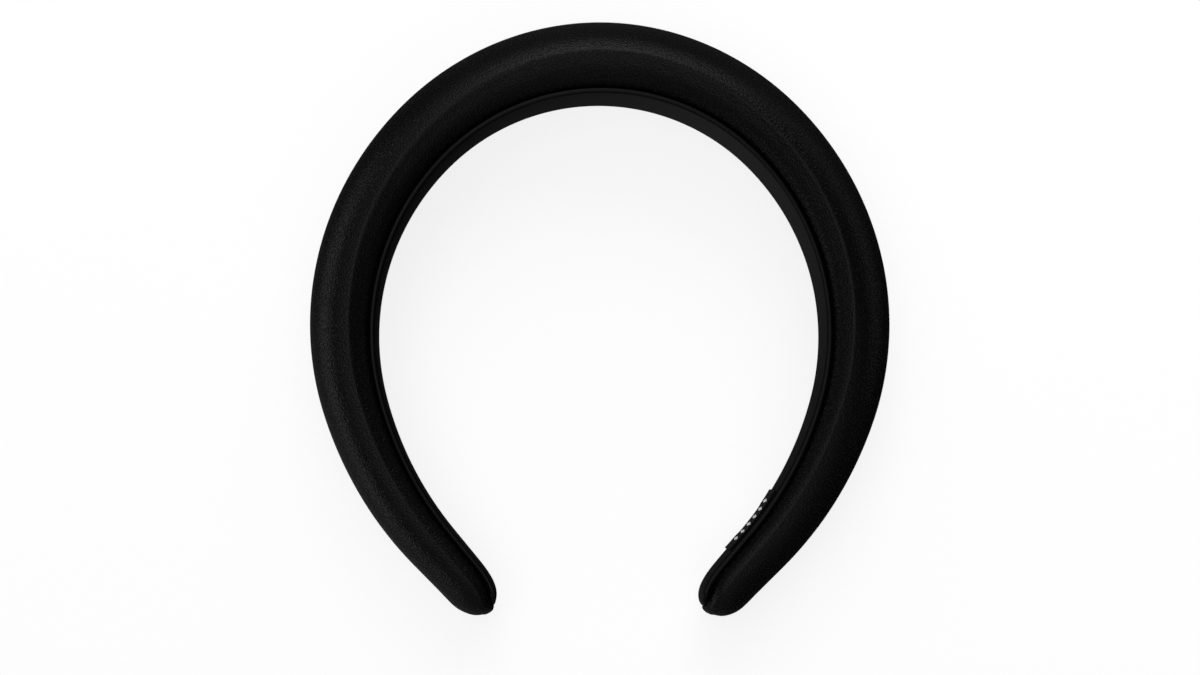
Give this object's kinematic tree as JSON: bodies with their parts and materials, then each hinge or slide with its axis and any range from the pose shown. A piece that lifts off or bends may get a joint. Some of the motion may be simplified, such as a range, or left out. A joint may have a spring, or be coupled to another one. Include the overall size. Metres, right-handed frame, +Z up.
{
  "type": "padded hair band",
  "caption": "Arch-shaped padded hair band: a fabric-wrapped inner band with a thick satin-covered pad outside it, fullest at the crown and slim at the tips.",
  "frame": {"origin": "centre of the bounding box at its base, on the surface that the band lies on", "axes": "+X across the arch towards the arm with the label, +Y from the tips to the crown, +Z up from the surface"},
  "size_m": [0.1736, 0.1778, 0.0398],
  "materials": {
    "pad_satin": "black duchess satin stretched over foam",
    "inner_ribbon": "black satin ribbon wrapped round a stiff band",
    "label_weave": "black woven ribbon with a small white geometric pattern"
  },
  "bodies": {
    "root": {"padded_band": "pad_satin", "inner_band": "inner_ribbon", "label": "label_weave"}
  },
  "joints": []
}
